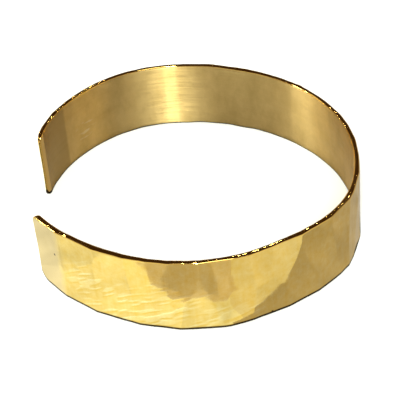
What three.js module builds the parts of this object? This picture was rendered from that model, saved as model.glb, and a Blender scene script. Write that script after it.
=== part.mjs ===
// An open cuff bracelet bent from one strip of hammered brass sheet.
// Millimetres, +Z up. The cuff rests on its lower rim at z = 0, with its opening towards -X.
import * as THREE from "three";

// Driving dimensions
const bandWidth = 12.7; // half-inch strip, standing on edge
const sheetThickness = 0.8; // 20 gauge
const rimRadius = 0.25; // filed round on all four long edges
const inwardLean = 0.2; // the upper rim is this much further in than the lower one

// The strip follows tangent arcs, from the tip in front of the opening round to the tip behind it.
const firstHeadingDeg = -59.4;
const bends = [
  { place: "front tip", radius: 35, length: 23 },
  { place: "front left shoulder", radius: 23, length: 17 },
  { place: "front", radius: 38, length: 11 },
  { place: "front right shoulder", radius: 20, length: 12 },
  { place: "right side", radius: 36, length: 16 },
  { place: "back", radius: 32, length: 42 },
  { place: "back left shoulder", radius: 20, length: 16 },
  { place: "back tip", radius: 27, length: 20 },
];

// Each tip has its two corners rounded, seen from the side.
const frontTip = { upperCorner: 1.3, lowerCorner: 2.4 };
const backTip = { upperCorner: 1.6, lowerCorner: 1.2 };

// How finely the curves are faceted
const stepAlongStrip = 1.9;
const stepsPerTipCorner = 5;
const stepsPerRimCorner = 3;

const stripLength = bends.reduce((sum, bend) => sum + bend.length, 0);

// A point on the middle line of the strip and the direction pointing away from the wrist there.
function placeOnStrip(distance) {
  let x = 0;
  let y = 0;
  let heading = THREE.MathUtils.degToRad(firstHeadingDeg);
  let left = distance;
  for (const bend of bends) {
    const run = Math.min(left, bend.length);
    const nextHeading = heading + run / bend.radius;
    x += bend.radius * (Math.sin(nextHeading) - Math.sin(heading));
    y -= bend.radius * (Math.cos(nextHeading) - Math.cos(heading));
    heading = nextHeading;
    left -= run;
  }
  return {
    middle: new THREE.Vector2(x, y),
    outward: new THREE.Vector2(Math.sin(heading), -Math.cos(heading)),
  };
}

// How much a rounded corner takes off the width of the band at a distance from the tip.
function cornerLoss(radius, fromTip) {
  if (fromTip >= radius) {
    return 0;
  }
  return radius - Math.sqrt(radius ** 2 - (radius - fromTip) ** 2);
}

// Distances from a tip that follow its two corner arcs in even angles.
function tipDistances(tip) {
  const distances = [0];
  for (const radius of [tip.upperCorner, tip.lowerCorner]) {
    for (let step = 1; step <= stepsPerTipCorner; step += 1) {
      const angle = (step / stepsPerTipCorner) * (Math.PI / 2);
      distances.push(radius * (1 - Math.cos(angle)));
    }
  }
  return distances;
}

// All distances along the strip at which a cross-section is set, in order and without near doubles.
function stationDistances() {
  const fromFront = tipDistances(frontTip);
  const fromBack = tipDistances(backTip).map((distance) => stripLength - distance);
  const firstEven = Math.max(...fromFront);
  const lastEven = Math.min(...fromBack);
  const evenCount = Math.round((lastEven - firstEven) / stepAlongStrip);
  const even = [];
  for (let index = 1; index < evenCount; index += 1) {
    even.push(THREE.MathUtils.lerp(firstEven, lastEven, index / evenCount));
  }
  const closest = 0.02;
  return [...fromFront, ...even, ...fromBack]
    .sort((a, b) => a - b)
    .filter((distance, index, all) => index === 0 || distance - all[index - 1] > closest);
}

// One cross-section: a tall thin rectangle with rounded corners, as pairs of offset and height.
function sectionLoop(low, high) {
  const halfThickness = sheetThickness / 2;
  const corners = [
    { side: 1, centreHeight: low + rimRadius, firstAngle: -90 },
    { side: 1, centreHeight: high - rimRadius, firstAngle: 0 },
    { side: -1, centreHeight: high - rimRadius, firstAngle: 90 },
    { side: -1, centreHeight: low + rimRadius, firstAngle: 180 },
  ];
  return corners.flatMap(({ side, centreHeight, firstAngle }) => {
    const points = [];
    for (let step = 0; step <= stepsPerRimCorner; step += 1) {
      const angle = THREE.MathUtils.degToRad(firstAngle + (90 * step) / stepsPerRimCorner);
      points.push({
        offset: side * (halfThickness - rimRadius) + rimRadius * Math.cos(angle),
        height: centreHeight + rimRadius * Math.sin(angle),
      });
    }
    return points;
  });
}

// The corners of the cross-section at one distance along the strip, in space.
function sectionAt(distance) {
  const { middle, outward } = placeOnStrip(distance);
  const fromFront = distance;
  const fromBack = stripLength - distance;
  const lowLoss = Math.max(
    cornerLoss(frontTip.lowerCorner, fromFront),
    cornerLoss(backTip.lowerCorner, fromBack),
  );
  const highLoss = Math.max(
    cornerLoss(frontTip.upperCorner, fromFront),
    cornerLoss(backTip.upperCorner, fromBack),
  );
  return sectionLoop(lowLoss, bandWidth - highLoss).map(({ offset, height }) => {
    const leaned = offset + inwardLean * (0.5 - height / bandWidth);
    const point = middle.clone().addScaledVector(outward, leaned);
    return new THREE.Vector3(point.x, point.y, height);
  });
}

// Joins the cross-sections into one closed body and closes both tips with flat end faces.
function bandGeometry() {
  const sections = stationDistances().map(sectionAt);
  const loopCount = sections[0].length;
  const triangles = [];
  for (let station = 0; station < sections.length - 1; station += 1) {
    for (let corner = 0; corner < loopCount; corner += 1) {
      const next = (corner + 1) % loopCount;
      const here = station * loopCount;
      const ahead = here + loopCount;
      triangles.push(here + corner, ahead + corner, here + next);
      triangles.push(here + next, ahead + corner, ahead + next);
    }
  }
  const lastStation = (sections.length - 1) * loopCount;
  for (let corner = 1; corner < loopCount - 1; corner += 1) {
    triangles.push(0, corner, corner + 1);
    triangles.push(lastStation, lastStation + corner + 1, lastStation + corner);
  }
  const geometry = new THREE.BufferGeometry();
  geometry.setFromPoints(sections.flat());
  geometry.setIndex(triangles);
  return geometry;
}

// Puts the middle of the cuff's length and breadth on the Z axis, with its lower rim left at z = 0.
function centreOverOrigin(geometry) {
  geometry.computeBoundingBox();
  const centre = geometry.boundingBox.getCenter(new THREE.Vector3());
  geometry.translate(-centre.x, -centre.y, 0);
  return geometry;
}

function hammeredBrass() {
  return new THREE.MeshStandardMaterial({
    name: "hammered_brass",
    color: 0xdcb964,
    roughness: 0.22,
    metalness: 1,
  });
}

const band = new THREE.Mesh(centreOverOrigin(bandGeometry()), hammeredBrass());
band.name = "cuff_band";

const cuff = new THREE.Group();
cuff.name = "cuff_bracelet";
cuff.add(band);

export default cuff;
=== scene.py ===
import math

import bpy
import numpy as np
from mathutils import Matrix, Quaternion, Vector


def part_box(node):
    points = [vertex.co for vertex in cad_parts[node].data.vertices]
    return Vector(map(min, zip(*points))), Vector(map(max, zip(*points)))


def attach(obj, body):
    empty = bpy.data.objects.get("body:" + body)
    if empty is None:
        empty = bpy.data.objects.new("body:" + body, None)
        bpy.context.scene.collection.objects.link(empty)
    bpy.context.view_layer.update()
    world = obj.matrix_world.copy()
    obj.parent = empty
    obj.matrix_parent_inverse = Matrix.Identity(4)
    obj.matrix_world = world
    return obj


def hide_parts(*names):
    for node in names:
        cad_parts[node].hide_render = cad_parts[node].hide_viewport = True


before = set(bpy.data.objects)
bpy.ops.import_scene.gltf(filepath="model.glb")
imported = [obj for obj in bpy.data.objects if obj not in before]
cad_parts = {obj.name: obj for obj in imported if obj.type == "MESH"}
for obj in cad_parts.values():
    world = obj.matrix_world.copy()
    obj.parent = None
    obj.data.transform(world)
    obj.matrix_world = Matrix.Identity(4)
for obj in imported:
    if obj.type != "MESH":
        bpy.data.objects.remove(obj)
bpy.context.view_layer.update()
scene = bpy.context.scene
mm = 0.001  # everything below is thought of in millimetres and built in metres
noiseRange = (0.3, 0.7)  # nearly all that a noise texture gives lies between these


def linearColour(hexText):
    # sRGB hex to the linear values that the shaders want
    channels = [int(hexText[i:i + 2], 16) / 255 for i in (1, 3, 5)]
    return [c / 12.92 if c <= 0.04045 else ((c + 0.055) / 1.055) ** 2.4 for c in channels] + [1.0]


def addNode(tree, kind, settings=None, inputs=None):
    # one node, its settings, and its inputs as plain values or as links from other nodes
    node = tree.nodes.new(kind)
    for name, value in (settings or {}).items():
        setattr(node, name, value)
    for name, value in (inputs or {}).items():
        if isinstance(value, bpy.types.NodeSocket):
            tree.links.new(value, node.inputs[name])
        else:
            node.inputs[name].default_value = value
    return node


def emptyMaterial(name):
    material = bpy.data.materials.new(name)
    material.use_nodes = True
    material.node_tree.nodes.clear()
    return material


# The strip: a half-inch band of 0.8 mm sheet, bent round in tangent arcs from the tip
# in front of the opening to the tip behind it. The same sizes as the CAD solid, in mm.
strip = {
    "width": 12.7,
    "thickness": 0.8,
    "rimRadius": 0.25,
    "inwardLean": 0.2,
    "firstHeading": -59.4,  # degrees, at the front tip
    "frontTip": {"upper": 1.3, "lower": 2.4},  # corner radii
    "backTip": {"upper": 1.6, "lower": 1.2},
    "bevelLength": 1.1,  # how far in from each tip the inside is filed thin
    "bevelDepth": 0.22,
    "fineStep": 0.06,  # mesh spacing at the very tip, over the tip's corners and along the rest
    "tipStep": 0.12,
    "tipReach": 2.6,
    "evenStep": 0.225,
    "outerRows": 72,
    "innerRows": 24,
    "cornerSteps": 3,
}
bends = [
    # place, radius, length
    ("front tip", 35, 23),
    ("front left shoulder", 23, 17),
    ("front", 38, 11),
    ("front right shoulder", 20, 12),
    ("right side", 36, 16),
    ("back", 32, 42),
    ("back left shoulder", 20, 16),
    ("back tip", 27, 20),
]
bendRadii = np.array([radius for place, radius, length in bends], float)
bendLengths = np.array([length for place, radius, length in bends])
bendEnds = np.cumsum(bendLengths)
stripLength = sum(length for place, radius, length in bends)

# The long edges, filed by eye: they wander, and carry short dents of their own. In mm.
rims = {
    "wave": {"depth": 0.06, "length": 5.5, "seed": 3},
    "dents": {"depth": 0.024, "length": 1.0, "seed": 5},
    "lowerWave": {"depth": 0.1, "length": 2.8, "seed": 8},
    "sharpness": 8,  # how fast the wave dies out away from the edge
}

# The planishing hammer: each blow leaves a nearly flat patch, and the patches meet in soft ridges.
hammer = {
    "seed": 11,
    "markLength": 4.2,
    "markHeight": 8.0,
    "scatter": 0.36,  # share of a mark
    "lowestRow": 0.1,
    "flatten": 0.95,  # how much of the bend a blow takes out
    "bendBlend": 4,  # mm each way over which two bends run into one another
    "crossCurve": 140.0,  # radius of the hammer face across the strip
    "yawTilt": 0.016,
    "pitchTilt": 0.008,
    "ridgeSoftness": 0.0012,
    "patchLimits": (-0.2, 0.6),  # past these a patch is too far off to count
    "wanderAlong": {"strength": 0.4, "length": 2.6, "height": 2.2, "seed": 61},
    "wanderAcross": {"strength": 0.4, "length": 2.4, "height": 2.8, "seed": 62},
    "insideShare": 0.16,  # how much of the marks shows through on the inside
}
# the blows on the front, placed one by one; the rest of the strip is hammered at random
frontBlows = [
    # along, across, yaw, pitch, polish
    (3.6, 6.0, 0.000, 0.004, 0.55),
    (10.4, 6.5, 0.006, -0.004, 0.5),
    (17.4, 6.0, -0.004, 0.004, 0.6),
    (24.2, 3.0, 0.004, 0.000, 0.6),
    (22.2, 9.8, 0.000, 0.010, 0.2),
    (24.5, 9.9, 0.012, 0.000, 0.45),
    (28.2, 9.6, -0.008, 0.000, 0.3),
    (30.5, 3.4, 0.004, -0.004, 0.7),
    (33.4, 9.8, 0.006, 0.004, 0.4),
    (37.3, 7.4, 0.010, 0.000, 0.3),
    (41.2, 3.6, -0.006, 0.004, 0.3),
    (41.4, 10.2, 0.010, 0.000, 0.3),
    (45.0, 10.6, 0.038, 0.004, 0.5),
    (46.2, 4.6, -0.010, 0.000, 0.5),
    (49.4, 9.2, -0.024, 0.000, 0.4),
    (52.4, 5.4, -0.004, 0.004, 0.6),
    (56.2, 7.6, 0.006, -0.004, 0.3),
    (60.4, 5.8, -0.006, 0.004, 0.5),
]
frontLength = 62.0  # how far along the strip they reach

# Ripples: where the hammer face was rough it left short crests, like bark.
ripples = {
    "length": 4.6,
    "spacing": 0.78,
    "rise": 0.25,
    "steepRise": 0.45,  # more at the front tip, and none past steepReach
    "steepReach": 30.0,
    "depth": 0.02,
    "crestStart": 0.02,  # how far below the middle of the noise a crest begins
    "crestRange": 0.45,  # and how much further up it is full
    "crestSeed": 21,
    "broadBend": {"strength": 0.7, "length": 5, "height": 4, "seed": 33},
    "fineBend": {"strength": 0.3, "along": 3, "across": 0.5, "seed": 31},  # bends to each crest
    "edge": {"strength": 0.3, "length": 3, "height": 2, "seed": 51},
    "edgeFade": 1.5,
    "underCrestShade": 0.6,  # painted shade in the hollow below each crest
}
rippledPlaces = [
    # along, across, half length, half height, strength
    (20.0, 3.2, 14.0, 5.2, 1.0),
    (12.5, 5.6, 6.0, 4.6, 0.9),
    (33.0, 2.0, 8.0, 3.0, 0.7),
    (76.0, 5.0, 13.0, 5.0, 0.8),
    (104.0, 8.0, 9.0, 4.0, 0.5),
    (131.0, 4.5, 15.0, 5.0, 0.9),
]


def stripPath(distances):
    # middle line of the strip and the outward direction at each distance
    starts, x, y, heading = [], 0.0, 0.0, math.radians(strip["firstHeading"])
    for place, radius, length in bends:
        starts.append((x, y, heading))
        turned = heading + length / radius
        x += radius * (math.sin(turned) - math.sin(heading))
        y -= radius * (math.cos(turned) - math.cos(heading))
        heading = turned
    which = np.minimum(np.searchsorted(bendEnds, distances, side="right"), len(bends) - 1)
    x0, y0, h0 = np.array(starts)[which].T
    radius = bendRadii[which]
    run = distances - (bendEnds - bendLengths)[which]
    h = h0 + run / radius
    px = x0 + radius * (np.sin(h) - np.sin(h0))
    py = y0 - radius * (np.cos(h) - np.cos(h0))
    return px, py, np.sin(h), -np.cos(h)


def cornerLoss(radius, fromTip):
    # how much a rounded corner takes off at a distance from the tip
    inside = np.clip(radius - fromTip, 0, radius)
    return radius - np.sqrt(radius ** 2 - inside ** 2)


def stationDistances():
    # close together round the tips, even along the rest
    fine = np.arange(0, strip["rimRadius"], strip["fineStep"])
    tip = np.arange(strip["rimRadius"], strip["tipReach"], strip["tipStep"])
    near = np.concatenate([fine, tip])
    first = near[-1] + strip["tipStep"]
    count = int(round((stripLength - 2 * first) / strip["evenStep"]))
    middle = np.linspace(first, stripLength - first, count)
    return np.concatenate([near, middle, stripLength - near[::-1]])


def sectionLoop():
    # the outline of a cross-section as columns: side, angle of the rounding, share of the height
    quarter = np.linspace(0, 90, strip["cornerSteps"] + 1)
    lowerOuter = [(1, a - 90, 0) for a in quarter[:-1]]
    outer = [(1, 0, share) for share in np.linspace(0, 1, strip["outerRows"])]
    upperOuter = [(1, a, 1) for a in quarter[1:]]
    upperInner = [(-1, a + 90, 1) for a in quarter[:-1]]
    inner = [(-1, 180, share) for share in np.linspace(1, 0, strip["innerRows"])]
    lowerInner = [(-1, a + 180, 0) for a in quarter[1:]]
    return np.array(lowerOuter + outer + upperOuter + upperInner + inner + lowerInner, float)


def noiseAlong(distances, layer):
    # smooth wandering value between -1 and 1, from random heights joined by a cosine
    count = int(stripLength / layer["length"]) + 4  # a few to spare past the end
    values = np.random.default_rng(layer["seed"]).uniform(-1, 1, count)
    place = distances / layer["length"]
    first = np.floor(place).astype(int)
    blend = (1 - np.cos(np.pi * (place - first))) / 2
    return values[first] * (1 - blend) + values[first + 1] * blend


def sheetNoise(along, across, seed):
    # smooth wandering height over the sheet between -1 and 1, one bump to each unit of length
    columns, rows = 256, 64  # bumps before it repeats, more than the strip has
    values = np.random.default_rng(seed).uniform(-1, 1, (columns, rows))
    firstA, firstB = np.floor(along).astype(int), np.floor(across).astype(int)
    a, b = along - firstA, across - firstB
    a, b = a * a * (3 - 2 * a), b * b * (3 - 2 * b)

    def corner(da, db):
        return values[(firstA + da) % columns, (firstB + db) % rows]

    low = corner(0, 0) * (1 - a) + corner(1, 0) * a
    high = corner(0, 1) * (1 - a) + corner(1, 1) * a
    return low * (1 - b) + high * b


def wander(layer, along, height):
    # one layer of sheet noise, with its bump sizes in mm
    return layer["strength"] * sheetNoise(along / layer["length"], height / layer["height"], layer["seed"])


def barkRipples(along, height):
    # short crests side by side that rise along the strip, most steeply near the front tip,
    # from 0 in smooth places to 1 on a full crest
    near = np.minimum(along, ripples["steepReach"])
    steepRise = ripples["steepRise"] * (near - near ** 2 / (2 * ripples["steepReach"]))
    u = along / ripples["length"]
    v = (height - ripples["rise"] * along - steepRise) / ripples["spacing"]
    fine = ripples["fineBend"]
    fineBend = fine["strength"] * sheetNoise(u * fine["along"], v * fine["across"], fine["seed"])
    bent = wander(ripples["broadBend"], along, height) + fineBend
    crest = sheetNoise(2 * u, 2 * v + bent, ripples["crestSeed"])  # two bumps make a crest and a hollow
    share = np.zeros_like(along)
    fade = ripples["edgeFade"]
    for atS, atZ, reachS, reachZ, strength in rippledPlaces:
        away = np.hypot((along - atS) / reachS, (height - atZ) / reachZ)
        edge = away + wander(ripples["edge"], along, height)
        share = np.maximum(share, strength * np.clip(fade - fade * edge, 0, 1))
    return np.clip((crest + ripples["crestStart"]) / ripples["crestRange"], 0, 1) * share


def hammerBlows():
    # each blow: along, across, yaw, pitch, polish
    random = np.random.default_rng(hammer["seed"])
    blows = list(frontBlows)
    columns = int((stripLength - frontLength) / hammer["markLength"]) + 2
    rows = int(strip["width"] / hammer["markHeight"]) + 2
    for column in range(columns):
        for row in range(rows):
            # every second row is half a mark further on
            jitterS, jitterZ = random.uniform(-1, 1, 2) * hammer["scatter"]
            blows.append((
                frontLength + (column + 0.5 + jitterS + 0.5 * (row % 2)) * hammer["markLength"],
                (row + hammer["lowestRow"] + jitterZ) * hammer["markHeight"],
                random.normal(0, hammer["yawTilt"]),
                random.normal(0, hammer["pitchTilt"]),
                random.uniform(0, 1),
            ))
    return blows


def bendRadiusAt(distance):
    # the strip's own radius, blended over a few millimetres where two arcs meet
    reach = hammer["bendBlend"]
    around = distance + np.linspace(-reach, reach, 2 * reach + 1)
    which = np.minimum(np.searchsorted(bendEnds, np.clip(around, 0, stripLength)), len(bends) - 1)
    return 1 / (1 / bendRadii[which]).mean()


def hammeredSurface(distance, height):
    # lower envelope of the patches, in mm from the smooth bend, with the ridges softened,
    # and for each point a polish value of its own from the blow that made it
    distance = distance + wander(hammer["wanderAlong"], distance, height)
    height = height + wander(hammer["wanderAcross"], distance, height)
    total = np.zeros_like(distance)
    lowest = np.full_like(distance, np.inf)
    tone = np.zeros_like(distance)
    for atS, atZ, yaw, pitch, polish in hammerBlows():
        ds, dz = distance - atS, height - atZ
        alongCurve = hammer["flatten"] * ds ** 2 / (2 * bendRadiusAt(atS))
        patch = alongCurve + dz ** 2 / (2 * hammer["crossCurve"])
        patch = patch + yaw * ds + pitch * dz
        total += np.exp(-np.clip(patch, *hammer["patchLimits"]) / hammer["ridgeSoftness"])
        tone = np.where(patch < lowest, polish, tone)
        lowest = np.minimum(lowest, patch)
    return -hammer["ridgeSoftness"] * np.log(total), tone


def addPointValues(mesh, name, kind, field, values):
    attribute = mesh.attributes.new(name, kind, "POINT")
    attribute.data.foreach_set(field, values.astype(np.float32).ravel())


def buildBand():
    distances = stationDistances()
    loop = sectionLoop()
    side, angle, share = loop[:, 0], np.radians(loop[:, 1]), loop[:, 2]
    px, py, nx, ny = [column[:, None] for column in stripPath(distances)]
    fromFront, fromBack = distances, stripLength - distances
    fromTip = np.minimum(fromFront, fromBack)
    front, back = strip["frontTip"], strip["backTip"]
    low = np.maximum(cornerLoss(front["lower"], fromFront), cornerLoss(back["lower"], fromBack))
    upperLoss = np.maximum(cornerLoss(front["upper"], fromFront), cornerLoss(back["upper"], fromBack))
    high = strip["width"] - upperLoss
    r = strip["rimRadius"]
    halfThick = strip["thickness"] / 2 - cornerLoss(r, fromTip)
    offset = side[None, :] * (halfThick[:, None] - r) + r * np.cos(angle)[None, :]
    edgeHeight = r + (high - low - 2 * r)[:, None] * share[None, :] + r * np.sin(angle)[None, :]
    height = low[:, None] + edgeHeight

    # hammer marks and ripples outside, and a trace of the marks inside
    along = np.repeat(distances[:, None], len(loop), axis=1)
    dents, tone = hammeredSurface(along, height)
    crests = barkRipples(along, height)
    # painted highlight on each ripple crest, and painted shade just below it, where the crest a quarter
    # spacing higher is taken away
    belowCrests = barkRipples(along, height + ripples["spacing"] / 4)
    crestLightAndShade = crests - ripples["underCrestShade"] * belowCrests
    dents += ripples["depth"] * crests
    creases = hammeredSurface(distances, np.full_like(distances, strip["width"] / 2))[0]
    outerShare = (1 + np.cos(angle))[None, :] / 2
    inside = (creases - creases.mean())[:, None] * hammer["insideShare"]
    offset = offset + (dents - dents.mean()) * outerShare + inside * (1 - outerShare)

    # the ends are filed thin on the inside
    bevel = strip["bevelDepth"] * np.clip(1 - fromTip / strip["bevelLength"], 0, 1)
    offset = offset + bevel[:, None] * (1 - outerShare)

    # the upper edge dips and the lower edge rises, both by a little
    upperPull = share[None, :] ** rims["sharpness"]
    lowerPull = (1 - share[None, :]) ** rims["sharpness"]
    wave = rims["wave"]["depth"] * noiseAlong(along, rims["wave"]) - rims["wave"]["depth"]
    dent = rims["dents"]["depth"] * noiseAlong(along, rims["dents"])
    lowerWave = rims["lowerWave"]["depth"] * (1 + noiseAlong(along, rims["lowerWave"]))
    height = height + upperPull * (wave + dent) + lowerPull * lowerWave

    # placed so that the smooth outside of the bend is centred on the solid's box
    leaned = offset + strip["inwardLean"] * (0.5 - height / strip["width"])
    x, y = px + nx * leaned, py + ny * leaned
    smoothX, smoothY = px + nx * strip["thickness"] / 2, py + ny * strip["thickness"] / 2
    boxLow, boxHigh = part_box("cuff_band")
    shiftX = (boxLow.x + boxHigh.x) / 2 / mm - (smoothX.min() + smoothX.max()) / 2
    shiftY = (boxLow.y + boxHigh.y) / 2 / mm - (smoothY.min() + smoothY.max()) / 2
    points = np.stack([x + shiftX, y + shiftY, height + boxLow.z / mm], axis=-1) * mm

    count, around = len(distances), len(loop)
    index = np.arange(count * around).reshape(count, around)
    turned = np.roll(index, -1, axis=1)
    quads = np.stack([index[:-1], index[1:], turned[1:], turned[:-1]], axis=-1).reshape(-1, 4).tolist()
    caps = [index[0].tolist(), index[-1][::-1].tolist()]
    mesh = bpy.data.meshes.new("hammeredCuff")
    mesh.from_pydata(points.reshape(-1, 3).tolist(), [], quads + caps)

    # which finish each face has: the two broad faces, and filed brass on what lies between them
    planishedSlot, satinSlot, filedSlot = 0, 1, 2
    facing = (np.cos(angle) + np.cos(np.roll(angle, -1))) / 2  # 1 straight out, -1 straight in
    broad = 0.95
    finish = np.where(facing > broad, planishedSlot, np.where(facing < -broad, satinSlot, filedSlot))
    atTip = (fromTip[:-1] + fromTip[1:]) / 2 < strip["bevelLength"]
    bevelled = atTip[:, None] & (finish == satinSlot)[None, :]
    finishes = np.where(bevelled, filedSlot, finish[None, :]).ravel().tolist()
    mesh.polygons.foreach_set("material_index", finishes + [filedSlot] * len(caps))
    mesh.polygons.foreach_set("use_smooth", [True] * len(mesh.polygons))

    # for the materials: how far along and across the strip a point is, in mm, with the polish
    # of its hammer mark, then the painted highlight and shade of the ripple it is on, and its height above
    # the lower edge
    addPointValues(mesh, "stripMm", "FLOAT_VECTOR", "vector", np.stack([along, height, tone], axis=-1))
    addPointValues(mesh, "rippleLightAndShade", "FLOAT", "value", crestLightAndShade)
    addPointValues(mesh, "edgeHeight", "FLOAT", "value", edgeHeight)
    mesh.update()
    band = bpy.data.objects.new("hammeredCuff", mesh)
    scene.collection.objects.link(band)
    return band


# Planished brass: rolled yellow brass, hammered flat on a steel stake with a polished hammer.
# To the eye it is a clear warm mirror broken into patches, with a bark-like ripple in places.
planished = {
    "deepColour": "#eac66a",
    "paleColour": "#fdeeb8",
    # the dark of the painted edge shade, also used for the spots
    "edgeShadeColour": "#3a2812",
    "baseShare": 0.2,
    # how much the ripples' painted highlight and painted shade change the tone
    "rippleShare": 0.85,
    "markShare": 0.22,
    "lineShare": 0.34,
    "blotchSize": 1.1,
    "blotchRoughness": 0.65,
    "blotchShare": 0.8,
    "tipColour": "#dcc69c",
    "tipLength": 8.0,
    "tipBlur": 1.2,
    "tipRagged": 3.0,
    "tipShare": 0.85,
    "roughness": 0.09,
    "roughnessSpread": (0.7, 1.4),
    "lineSpacing": 0.7,  # the real lines are about 0.1 mm apart, and are drawn coarser to show
    "lineLength": 7.0,
    "lineDepth": 0.004,
    "spots": [(5.2, 7.5), (41.4, 0.55)],  # a small pit near the tip, and a nick on the lower edge
    "spotRadius": 0.3,
    "spotCore": 0.3,
    "edgeShade": (0.38, 0.62),  # painted shade is full up to the first height and gone at the second
}


def planishedBrass():
    material = emptyMaterial("planishedBrass")
    tree = material.node_tree
    strips = addNode(tree, "ShaderNodeAttribute", {"attribute_name": "stripMm"})
    parts = addNode(tree, "ShaderNodeSeparateXYZ", None, {"Vector": strips.outputs["Vector"]})
    flat = addNode(tree, "ShaderNodeCombineXYZ", None, {
        "X": parts.outputs["X"], "Y": parts.outputs["Y"],
    })
    # the ripples' painted highlight and painted shade
    crest = addNode(tree, "ShaderNodeAttribute", {"attribute_name": "rippleLightAndShade"})

    # faint lines across the strip, left by the polish of the hammer face
    linePlace = addNode(tree, "ShaderNodeMapping", None, {
        "Vector": flat.outputs["Vector"],
        "Scale": (1 / planished["lineSpacing"], 1 / planished["lineLength"], 1),
    })
    lines = addNode(tree, "ShaderNodeTexNoise", None, {
        "Vector": linePlace.outputs["Vector"], "Scale": 1.0, "Detail": 3.0,
    })

    # tone: deep gold, paler by hammer mark, by line and in small blotches, with a painted highlight on
    # each ripple crest and painted shade just below it
    base = addNode(tree, "ShaderNodeMapRange", {"clamp": False}, {
        "Value": parts.outputs["Z"], "From Min": 0.0, "From Max": 1.0,
        "To Min": planished["baseShare"] - planished["markShare"] / 2,
        "To Max": planished["baseShare"] + planished["markShare"] / 2,
    })
    withRipple = addNode(tree, "ShaderNodeMath", {"operation": "MULTIPLY_ADD"}, {
        0: crest.outputs["Fac"], 1: planished["rippleShare"], 2: base.outputs["Result"],
    })
    lineTone = addNode(tree, "ShaderNodeMapRange", {"clamp": False}, {
        "Value": lines.outputs["Fac"], "From Min": 0.0, "From Max": 1.0,
        "To Min": -planished["lineShare"] / 2, "To Max": planished["lineShare"] / 2,
    })
    withLines = addNode(tree, "ShaderNodeMath", {"operation": "ADD"}, {
        0: withRipple.outputs["Value"], 1: lineTone.outputs["Result"],
    })
    blotches = addNode(tree, "ShaderNodeTexNoise", None, {
        "Vector": flat.outputs["Vector"], "Scale": 1 / planished["blotchSize"],
        "Detail": 4.0, "Roughness": planished["blotchRoughness"],
    })
    blotchTone = addNode(tree, "ShaderNodeMapRange", {"clamp": False}, {
        "Value": blotches.outputs["Fac"], "From Min": 0.0, "From Max": 1.0,
        "To Min": -planished["blotchShare"] / 2, "To Max": planished["blotchShare"] / 2,
    })
    tone = addNode(tree, "ShaderNodeMath", {"operation": "ADD", "use_clamp": True}, {
        0: withLines.outputs["Value"], 1: blotchTone.outputs["Result"],
    })
    gold = addNode(tree, "ShaderNodeMix", {"data_type": "RGBA"}, {
        "Factor": tone.outputs["Value"],
        "A": linearColour(planished["deepColour"]), "B": linearColour(planished["paleColour"]),
    })

    # the first few mm from the front tip are mixed towards a paler, greyer colour, with a ragged end
    raggedAlong = addNode(tree, "ShaderNodeMath", {"operation": "MULTIPLY_ADD"}, {
        0: blotches.outputs["Fac"], 1: planished["tipRagged"], 2: parts.outputs["X"],
    })
    paleTip = addNode(tree, "ShaderNodeMapRange", {"interpolation_type": "SMOOTHSTEP"}, {
        "Value": raggedAlong.outputs["Value"],
        "From Min": planished["tipLength"] - planished["tipBlur"],
        "From Max": planished["tipLength"] + planished["tipBlur"],
        "To Min": planished["tipShare"], "To Max": 0.0,
    })
    colour = addNode(tree, "ShaderNodeMix", {"data_type": "RGBA"}, {
        "Factor": paleTip.outputs["Result"],
        "A": gold.outputs["Result"], "B": linearColour(planished["tipColour"]),
    })

    # painted shade: a dark line along the lower edge stands in for the shade under the strip that the
    # lower rim mirrors, and the two spots are drawn in the same dark colour
    fromEdge = addNode(tree, "ShaderNodeAttribute", {"attribute_name": "edgeHeight"})
    edgeShade = addNode(tree, "ShaderNodeMapRange", {"interpolation_type": "SMOOTHSTEP"}, {
        "Value": fromEdge.outputs["Fac"],
        "From Min": planished["edgeShade"][0], "From Max": planished["edgeShade"][1],
        "To Min": 1.0, "To Max": 0.0,
    })
    # the painted edge shade, then the dark spots, in one mask
    polish = edgeShade.outputs["Result"]
    for spotAlong, spotAcross in planished["spots"]:
        away = addNode(tree, "ShaderNodeVectorMath", {"operation": "DISTANCE"}, {
            0: flat.outputs["Vector"], 1: (spotAlong, spotAcross, 0),
        })
        spot = addNode(tree, "ShaderNodeMapRange", {"interpolation_type": "SMOOTHSTEP"}, {
            "Value": away.outputs["Value"],
            "From Min": planished["spotRadius"] * planished["spotCore"],
            "From Max": planished["spotRadius"],
            "To Min": 1.0, "To Max": 0.0,
        })
        withSpot = addNode(tree, "ShaderNodeMath", {"operation": "MAXIMUM"}, {
            0: polish, 1: spot.outputs["Result"],
        })
        polish = withSpot.outputs["Value"]
    edgeShadedAndSpotted = addNode(tree, "ShaderNodeMix", {"data_type": "RGBA"}, {
        "Factor": polish,
        "A": colour.outputs["Result"], "B": linearColour(planished["edgeShadeColour"]),
    })

    lineBump = addNode(tree, "ShaderNodeBump", None, {
        "Height": lines.outputs["Fac"], "Strength": 1.0, "Distance": planished["lineDepth"] * mm,
    })
    gloss = addNode(tree, "ShaderNodeMapRange", None, {
        "Value": lines.outputs["Fac"], "From Min": noiseRange[0], "From Max": noiseRange[1],
        "To Min": planished["roughness"] * planished["roughnessSpread"][0],
        "To Max": planished["roughness"] * planished["roughnessSpread"][1],
    })
    shader = addNode(tree, "ShaderNodeBsdfPrincipled", None, {
        "Base Color": edgeShadedAndSpotted.outputs["Result"], "Metallic": 1.0,
        "Roughness": gloss.outputs["Result"], "Normal": lineBump.outputs["Normal"],
    })
    addNode(tree, "ShaderNodeOutputMaterial", None, {"Surface": shader.outputs["BSDF"]})
    return material


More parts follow.
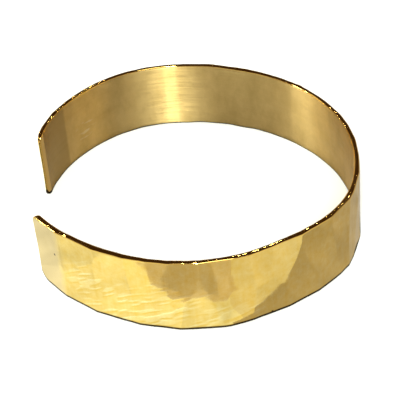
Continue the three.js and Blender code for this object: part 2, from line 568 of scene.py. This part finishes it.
# Satin brass: the inside, rubbed along the strip with fine abrasive.
# The scratches lie level, so a lamp spreads into a soft upright glow.
satin = {
    "colour": "#f0d28e",
    "roughness": 0.42,
    "roughnessSpread": (0.85, 1.2),
    "anisotropy": 0.9,
    "anisotropyTurn": 0.25,
    "scratchSpacing": 0.25,  # a grit scratch is under 0.1 mm wide, and is drawn coarser to show
    "scratchLength": 7.0,
    "scratchDepth": 0.002,
    "dullColour": "#d2b470",
    "smudgeLength": 6.0,
    "smudgeHeight": 9.0,
    "smudgeRoughness": 0.68,
    "smudgeRange": (0.4, 0.65),
    "smudgeShare": 0.7,
    "endColour": "#bda36e",
    "endPlace": 147.0,
    "endBlur": 0.4,
    "endShare": 0.7,
    "scuffColour": "#fff0c4",
    "scuffPlace": (141.6, 5.2),
    "scuffReach": 3.2,
    "scuffCore": 0.4,
    "scuffLength": 2.2,
    "scuffHeight": 0.55,
    "scuffRange": (0.56, 0.68),
    "scuffShare": 0.55,
}


def satinBrass():
    material = emptyMaterial("satinBrass")
    tree = material.node_tree
    strips = addNode(tree, "ShaderNodeAttribute", {"attribute_name": "stripMm"})
    parts = addNode(tree, "ShaderNodeSeparateXYZ", None, {"Vector": strips.outputs["Vector"]})
    level = addNode(tree, "ShaderNodeMapping", None, {
        "Vector": strips.outputs["Vector"],
        "Scale": (1 / satin["scratchLength"], 1 / satin["scratchSpacing"], 1),
    })
    scratches = addNode(tree, "ShaderNodeTexNoise", None, {
        "Vector": level.outputs["Vector"], "Scale": 1.0, "Detail": 3.0,
    })
    bump = addNode(tree, "ShaderNodeBump", None, {
        "Height": scratches.outputs["Fac"], "Strength": 1.0, "Distance": satin["scratchDepth"] * mm,
    })

    # where it was rubbed less it is duller, in soft smudges
    broad = addNode(tree, "ShaderNodeMapping", None, {
        "Vector": strips.outputs["Vector"],
        "Scale": (1 / satin["smudgeLength"], 1 / satin["smudgeHeight"], 0.0),
    })
    smudges = addNode(tree, "ShaderNodeTexNoise", None, {
        "Vector": broad.outputs["Vector"], "Scale": 1.0,
        "Detail": 7.0, "Roughness": satin["smudgeRoughness"],
    })
    dull = addNode(tree, "ShaderNodeMapRange", None, {
        "Value": smudges.outputs["Fac"],
        "From Min": satin["smudgeRange"][0], "From Max": satin["smudgeRange"][1],
        "To Min": 0.0, "To Max": satin["smudgeShare"],
    })
    colour = addNode(tree, "ShaderNodeMix", {"data_type": "RGBA"}, {
        "Factor": dull.outputs["Result"],
        "A": linearColour(satin["colour"]), "B": linearColour(satin["dullColour"]),
    })

    # the last stretch before the back tip is mixed towards a darker colour
    ending = addNode(tree, "ShaderNodeMapRange", {"interpolation_type": "SMOOTHSTEP"}, {
        "Value": parts.outputs["X"],
        "From Min": satin["endPlace"] - satin["endBlur"],
        "From Max": satin["endPlace"] + satin["endBlur"],
        "To Min": 0.0, "To Max": satin["endShare"],
    })
    darker = addNode(tree, "ShaderNodeMix", {"data_type": "RGBA"}, {
        "Factor": ending.outputs["Result"],
        "A": colour.outputs["Result"], "B": linearColour(satin["endColour"]),
    })

    # a small patch of level scuffs near it
    flat = addNode(tree, "ShaderNodeCombineXYZ", None, {
        "X": parts.outputs["X"], "Y": parts.outputs["Y"],
    })
    away = addNode(tree, "ShaderNodeVectorMath", {"operation": "DISTANCE"}, {
        0: flat.outputs["Vector"], 1: (satin["scuffPlace"][0], satin["scuffPlace"][1], 0),
    })
    near = addNode(tree, "ShaderNodeMapRange", {"interpolation_type": "SMOOTHSTEP"}, {
        "Value": away.outputs["Value"],
        "From Min": satin["scuffReach"] * satin["scuffCore"], "From Max": satin["scuffReach"],
        "To Min": 1.0, "To Max": 0.0,
    })
    scuffPlacing = addNode(tree, "ShaderNodeMapping", None, {
        "Vector": flat.outputs["Vector"],
        "Scale": (1 / satin["scuffLength"], 1 / satin["scuffHeight"], 1),
    })
    scuffs = addNode(tree, "ShaderNodeTexNoise", None, {
        "Vector": scuffPlacing.outputs["Vector"], "Scale": 1.0, "Detail": 1.0,
    })
    scuffLines = addNode(tree, "ShaderNodeMapRange", None, {
        "Value": scuffs.outputs["Fac"],
        "From Min": satin["scuffRange"][0], "From Max": satin["scuffRange"][1],
        "To Min": 0.0, "To Max": satin["scuffShare"],
    })
    scuffed = addNode(tree, "ShaderNodeMath", {"operation": "MULTIPLY"}, {
        0: scuffLines.outputs["Result"], 1: near.outputs["Result"],
    })
    inner = addNode(tree, "ShaderNodeMix", {"data_type": "RGBA"}, {
        "Factor": scuffed.outputs["Value"],
        "A": darker.outputs["Result"], "B": linearColour(satin["scuffColour"]),
    })

    around = addNode(tree, "ShaderNodeTangent", {"direction_type": "RADIAL", "axis": "Z"})
    gloss = addNode(tree, "ShaderNodeMapRange", None, {
        "Value": scratches.outputs["Fac"], "From Min": noiseRange[0], "From Max": noiseRange[1],
        "To Min": satin["roughness"] * satin["roughnessSpread"][0],
        "To Max": satin["roughness"] * satin["roughnessSpread"][1],
    })
    shader = addNode(tree, "ShaderNodeBsdfPrincipled", None, {
        "Base Color": inner.outputs["Result"], "Metallic": 1.0,
        "Roughness": gloss.outputs["Result"], "Normal": bump.outputs["Normal"],
        "Anisotropic": satin["anisotropy"], "Anisotropic Rotation": satin["anisotropyTurn"],
        "Tangent": around.outputs["Tangent"],
    })
    addNode(tree, "ShaderNodeOutputMaterial", None, {"Surface": shader.outputs["BSDF"]})
    return material


# Filed brass: the rims and the tips, filed round and rubbed bright, so they mirror the dark
# of the room, with painted shade along the lower rim.
filed = {
    "colour": "#e2b866",
    "edgeShadeColour": "#3a2812",
    "lowerRimShade": (0.26, 0.4),
    "roughness": 0.1,
    "fileSpacing": 0.6,  # file teeth leave marks about 0.3 mm apart, and are drawn coarser to show
    "fileDepth": 0.004,
}


def filedBrass():
    material = emptyMaterial("filedBrass")
    tree = material.node_tree
    strips = addNode(tree, "ShaderNodeAttribute", {"attribute_name": "stripMm"})
    across = addNode(tree, "ShaderNodeMapping", None, {
        "Vector": strips.outputs["Vector"],
        "Scale": (1 / filed["fileSpacing"], 1 / filed["fileSpacing"], 1),
    })
    marks = addNode(tree, "ShaderNodeTexNoise", None, {
        "Vector": across.outputs["Vector"], "Scale": 1.0, "Detail": 2.0,
    })
    bump = addNode(tree, "ShaderNodeBump", None, {
        "Height": marks.outputs["Fac"], "Strength": 1.0, "Distance": filed["fileDepth"] * mm,
    })
    # painted shade along the lower rim, standing in for the shade under the strip that it mirrors
    fromEdge = addNode(tree, "ShaderNodeAttribute", {"attribute_name": "edgeHeight"})
    edgeShade = addNode(tree, "ShaderNodeMapRange", None, {
        "Value": fromEdge.outputs["Fac"],
        "From Min": filed["lowerRimShade"][0], "From Max": filed["lowerRimShade"][1],
        "To Min": 1.0, "To Max": 0.0,
    })
    colour = addNode(tree, "ShaderNodeMix", {"data_type": "RGBA"}, {
        "Factor": edgeShade.outputs["Result"],
        "A": linearColour(filed["colour"]), "B": linearColour(filed["edgeShadeColour"]),
    })
    shader = addNode(tree, "ShaderNodeBsdfPrincipled", None, {
        "Base Color": colour.outputs["Result"], "Metallic": 1.0, "Roughness": filed["roughness"],
        "Normal": bump.outputs["Normal"],
    })
    addNode(tree, "ShaderNodeOutputMaterial", None, {"Surface": shader.outputs["BSDF"]})
    return material


# Studio. The camera and ordinary light see a pale floor. The metal mirrors cards that only it sees:
# lit paper, with shade to the right of the cuff, inside it and in front, and the room round the table.
studio = {
    "floorColour": "#f4f3f1",
    "floorRoughness": 0.9,
    "floorHalf": 3.0,  # metres
    "worldColour": "#f3f4f6",
    "worldStrength": 0.95,
    "mottleSize": 7.0,
    "hollowShade": ("#f0ead8", 0.56, 0.1),  # colour, strength, mottle
    "contactShade": ("#2e2010", 0.45),
    "contactReach": (-0.9, 0.8),  # either side of the strip's middle line
    "paleWall": ("#f2e4cc", 0.75),
    "duskWall": ("#5a4024", 0.5),
    "paleWallTop": 13,  # degrees above the table
    "roomRadius": 1500,
    "glints": [(150, 42), (173, 46), (204, 38)],  # azimuth and elevation of each small bright card
    "glintDistance": 900,
    "glintSize": 26,
    "glintColour": "#fffbe6",
    "glintStrength": 90.0,
    "lampColour": "#fcfff0",
}
papers = [
    # name, (left, right, near, far, height), colour, strength, mottle
    # all lie just under the table's surface, and where two overlap the upper one shows
    ("litPaper", (-900, 900, -900, 900, -0.4), "#fbfce2", 1.08, 0.2),
    ("leftPaper", (-30, -5, -45, 0, -0.35), "#fbfce2", 1.22, 0.15),
    ("frontPaper", (6, 80, -70, -32, -0.32), "#f9f6de", 0.95, 0.1),
    ("rightShade", (4, 300, -32, 60, -0.3), "#f6ecd8", 0.56, 0.12),
    ("frontHalfShade", (-22, 9, -300, -38, -0.25), "#f6ecd8", 0.84, 0.1),
    ("frontShade", (-15, 3, -300, -39.5, -0.2), "#f6ecd8", 0.66, 0.1),
]
lamps = [
    # name, azimuth, elevation, distance, width and height in metres, watts
    ("leftWindow", -98, 22, 0.7, 0.05, 0.3, 1.2),
    ("leftFill", -108, 24, 0.75, 0.24, 0.3, 0.3),
    ("frontLamp", -8, 38, 0.8, 0.08, 0.3, 6.0),
    ("frontFill", 10, 38, 0.85, 0.4, 0.3, 3.0),
]


def outward(azimuth, elevation):
    # azimuth 0 is in front of the cuff (-Y) and 90 to its right (+X)
    a, e = math.radians(azimuth), math.radians(elevation)
    return Vector((math.sin(a) * math.cos(e), -math.cos(a) * math.cos(e), math.sin(e)))


def rectangle(left, right, near, far, height):
    corners = [(left, near, height), (right, near, height), (right, far, height), (left, far, height)]
    return corners, [(0, 1, 2, 3)]


def planLine(offset):
    # a line at an offset from the strip's middle line, seen from above
    corners = 60  # enough for a smooth line
    px, py, nx, ny = stripPath(np.linspace(0, stripLength, corners))
    return np.stack([px + nx * offset, py + ny * offset], axis=-1)


def hollowShape(height):
    # the whole hollow inside the strip, closed across the opening
    outline = planLine(0)
    middle = (outline.min(axis=0) + outline.max(axis=0)) / 2
    corners = [(x - middle[0], y - middle[1], height) for x, y in outline]
    return corners, [tuple(range(len(corners)))]


def ribbonShape(inner, outer, height):
    # a flat ribbon under the strip between two offsets from its middle line
    outside = planLine(outer)
    middle = (outside.min(axis=0) + outside.max(axis=0)) / 2
    points = np.concatenate([outside, planLine(inner)])
    corners = [(x - middle[0], y - middle[1], height) for x, y in points]
    count = len(outside)
    return corners, [(i, i + 1, count + 1 + i, count + i) for i in range(count - 1)]


def roomShell(lowest, highest):
    # the room round the table between two elevations in degrees, as points and faces in mm
    radius, rings, spokes = studio["roomRadius"], 6, 24
    points, faces = [], []
    for ring in range(rings + 1):
        rise = math.radians(lowest + (highest - lowest) * ring / rings)
        for spoke in range(spokes):
            turn = math.radians(360 * spoke / spokes)
            flat = radius * max(math.cos(rise), 0.001)  # a tiny ring at the top, not a point
            height = radius * math.sin(rise) - 1  # it starts just below the table
            points.append((flat * math.cos(turn), flat * math.sin(turn), height))
    for ring in range(rings):
        for spoke in range(spokes):
            after = (spoke + 1) % spokes
            here, above = ring * spokes, (ring + 1) * spokes
            faces.append((here + spoke, here + after, above + after, above + spoke))
    return points, faces


def hungCard(azimuth, elevation, distance, size):
    # a square card in mm that faces the cuff
    away = outward(azimuth, elevation)
    turn = away.to_track_quat("Z", "Y")
    half = size / 2
    corners = [(-half, -half), (half, -half), (half, half), (-half, half)]
    return [away * distance + turn @ Vector((x, y, 0)) for x, y in corners], [(0, 1, 2, 3)]


def glowCard(name, form, colour, strength, mottle=0.0):
    # a card or wall in mm that shows only in mirror-like reflections, evenly lit or in soft patches
    points, faces = form
    mesh = bpy.data.meshes.new(name)
    mesh.from_pydata([Vector(point) * mm for point in points], [], faces)
    material = emptyMaterial(name)
    tree = material.node_tree
    place = addNode(tree, "ShaderNodeTexCoord")
    cloth = addNode(tree, "ShaderNodeTexNoise", None, {
        "Vector": place.outputs["Object"], "Scale": 1 / (studio["mottleSize"] * mm), "Detail": 2.0,
    })
    level = addNode(tree, "ShaderNodeMapRange", None, {
        "Value": cloth.outputs["Fac"], "From Min": noiseRange[0], "From Max": noiseRange[1],
        "To Min": strength * (1 - mottle), "To Max": strength * (1 + mottle),
    })
    glow = addNode(tree, "ShaderNodeEmission", None, {
        "Color": linearColour(colour), "Strength": level.outputs["Result"],
    })
    addNode(tree, "ShaderNodeOutputMaterial", None, {"Surface": glow.outputs["Emission"]})
    mesh.materials.append(material)
    card = bpy.data.objects.new(name, mesh)
    scene.collection.objects.link(card)
    card.visible_camera = False
    card.visible_diffuse = False
    card.visible_shadow = False
    card.visible_transmission = False
    card.visible_volume_scatter = False


def softbox(name, azimuth, elevation, distance, width, height, power):
    away = outward(azimuth, elevation)
    lamp = bpy.data.lights.new(name, "AREA")
    lamp.shape = "RECTANGLE"
    lamp.size = width
    lamp.size_y = height
    lamp.energy = power
    lamp.color = linearColour(studio["lampColour"])[:3]
    holder = bpy.data.objects.new(name, lamp)
    holder.location = away * distance
    holder.rotation_euler = away.to_track_quat("Z", "Y").to_euler()
    scene.collection.objects.link(holder)


def buildStudio():
    half = studio["floorHalf"]
    floorMesh = bpy.data.meshes.new("floor")
    corners, faces = rectangle(-half, half, -half, half, 0)
    floorMesh.from_pydata(corners, [], faces)
    # uncoated white paper, which takes a soft shadow and has no shine
    material = emptyMaterial("mattePaper")
    shader = addNode(material.node_tree, "ShaderNodeBsdfPrincipled", None, {
        "Base Color": linearColour(studio["floorColour"]), "Roughness": studio["floorRoughness"],
    })
    addNode(material.node_tree, "ShaderNodeOutputMaterial", None, {"Surface": shader.outputs["BSDF"]})
    floorMesh.materials.append(material)
    floor = bpy.data.objects.new("floor", floorMesh)
    scene.collection.objects.link(floor)
    floor.visible_glossy = False

    world = bpy.data.worlds.new("paleRoom")
    world.use_nodes = True
    world.node_tree.nodes.clear()
    sky = addNode(world.node_tree, "ShaderNodeBackground", None, {
        "Color": linearColour(studio["worldColour"]), "Strength": studio["worldStrength"],
    })
    addNode(world.node_tree, "ShaderNodeOutputWorld", None, {"Surface": sky.outputs["Background"]})
    scene.world = world
    world.cycles_visibility.glossy = False

    for name, form, colour, strength, mottle in papers:
        glowCard(name, rectangle(*form), colour, strength, mottle)
    glowCard("hollowShade", hollowShape(-0.2), *studio["hollowShade"])
    glowCard("contactShade", ribbonShape(*studio["contactReach"], -0.1), *studio["contactShade"])
    glowCard("paleWall", roomShell(0, studio["paleWallTop"]), *studio["paleWall"])
    glowCard("duskWall", roomShell(studio["paleWallTop"], 90), *studio["duskWall"])
    for number, (azimuth, elevation) in enumerate(studio["glints"]):
        card = hungCard(azimuth, elevation, studio["glintDistance"], studio["glintSize"])
        glowCard("glint" + str(number + 1), card, studio["glintColour"], studio["glintStrength"])
    for lamp in lamps:
        softbox(*lamp)


# Camera: looks down on the cuff from in front, as it lies on a table. Millimetres and degrees.
view = {
    "elevation": 34.15,
    "distance": 199.1,
    "roll": -5.36,
    "lens": 106.7,
    "pivot": (-0.35, -0.75, strip["width"] / 2),
    "aim": (0.24, -2.33, 4.02),
    "nearest": 0.01,  # clip distances in metres
    "farthest": 20,
}


def buildCamera():
    camera = bpy.data.objects.new("camera", bpy.data.cameras.new("camera"))
    scene.collection.objects.link(camera)
    away = outward(0, view["elevation"])
    camera.location = (Vector(view["pivot"]) + away * view["distance"]) * mm
    look = (Vector(view["aim"]) * mm - camera.location).to_track_quat("-Z", "Y")
    camera.rotation_mode = "QUATERNION"
    camera.rotation_quaternion = look @ Quaternion((0, 0, 1), math.radians(view["roll"]))
    camera.data.lens = view["lens"]
    camera.data.clip_start = view["nearest"]
    camera.data.clip_end = view["farthest"]
    scene.camera = camera


buildCamera()
print("camera set")
buildStudio()
print("studio lit")
band = buildBand()
for finish in (planishedBrass(), satinBrass(), filedBrass()):
    band.data.materials.append(finish)
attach(band, "root")
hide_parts("cuff_band")
print("cuff built with", len(band.data.polygons), "faces")

scene.view_settings.view_transform = "Standard"
